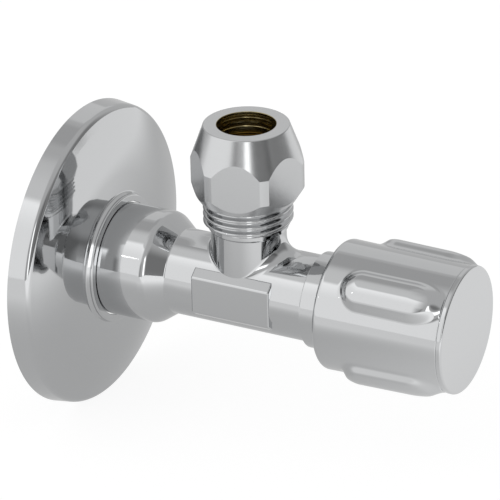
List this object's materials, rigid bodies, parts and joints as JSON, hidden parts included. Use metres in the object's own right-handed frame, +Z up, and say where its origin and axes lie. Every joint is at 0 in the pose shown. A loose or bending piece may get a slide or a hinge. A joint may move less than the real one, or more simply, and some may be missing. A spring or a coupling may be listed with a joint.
{
  "type": "isolating valve",
  "caption": "Right-angle isolating valve for a tap or cistern supply: wall inlet thread behind a rosette, ribbed handwheel on a rising spindle, and an upward compression outlet for a pipe.",
  "frame": {"origin": "where the valve's axis meets the finished wall, inside the inlet thread", "axes": "+X from the wall along the valve's axis to the handwheel, +Z up along the outlet, 35.3 mm from the wall"},
  "size_m": [0.0893, 0.0584, 0.0618],
  "materials": {
    "chromed_brass": "polished chrome plate on brass",
    "chromed_zinc": "polished chrome plate on die-cast zinc",
    "chromed_sheet": "polished chrome plate on pressed sheet",
    "raw_brass": "turned brass, unplated",
    "stainless_steel": "plain stainless steel",
    "black_rubber": "moulded black rubber"
  },
  "bodies": {
    "valve": {"valve_body": "chromed_brass", "bonnet": "chromed_brass", "bonnet_seal_ring": "black_rubber"},
    "rosette": {"wall_rosette": "chromed_sheet"},
    "disc": {"valve_disc": "raw_brass", "seat_washer": "black_rubber", "seat_washer_screw": "stainless_steel"},
    "spindle": {"spindle": "raw_brass", "inner_spindle_ring": "black_rubber", "outer_spindle_ring": "black_rubber", "handwheel": "chromed_zinc", "handwheel_bush": "raw_brass", "handwheel_washer": "stainless_steel", "handwheel_screw": "stainless_steel", "handwheel_cap": "chromed_zinc"},
    "olive": {"olive": "raw_brass"},
    "nut": {"compression_nut": "chromed_brass"}
  },
  "joints": [
    {"name": "rosette_slide", "type": "slide", "parent": "valve", "child": "rosette", "axis": [1, 0, 0], "range_m": [0, 0.008]},
    {"name": "disc_rise", "type": "slide", "parent": "valve", "child": "disc", "axis": [1, 0, 0], "range_m": [0, 0.00375]},
    {"name": "handle_turn", "type": "hinge", "parent": "disc", "child": "spindle", "pos_m": [0.0353, 0, 0], "axis": [1, 0, 0], "range_deg": [0, 1080]},
    {"name": "olive_rise", "type": "slide", "parent": "valve", "child": "olive", "axis": [0, 0, 1], "range_m": [0, 0.00602]},
    {"name": "nut_turn", "type": "hinge", "parent": "olive", "child": "nut", "pos_m": [0.0353, 0, 0.0182], "axis": [0, 0, 1], "range_deg": [0, 1620]}
  ],
  "couplings": [
    {"joint": "disc_rise", "follows": "handle_turn", "m_per_rad": 0.00019894},
    {"joint": "olive_rise", "follows": "nut_turn", "m_per_rad": 0.00021279}
  ]
}
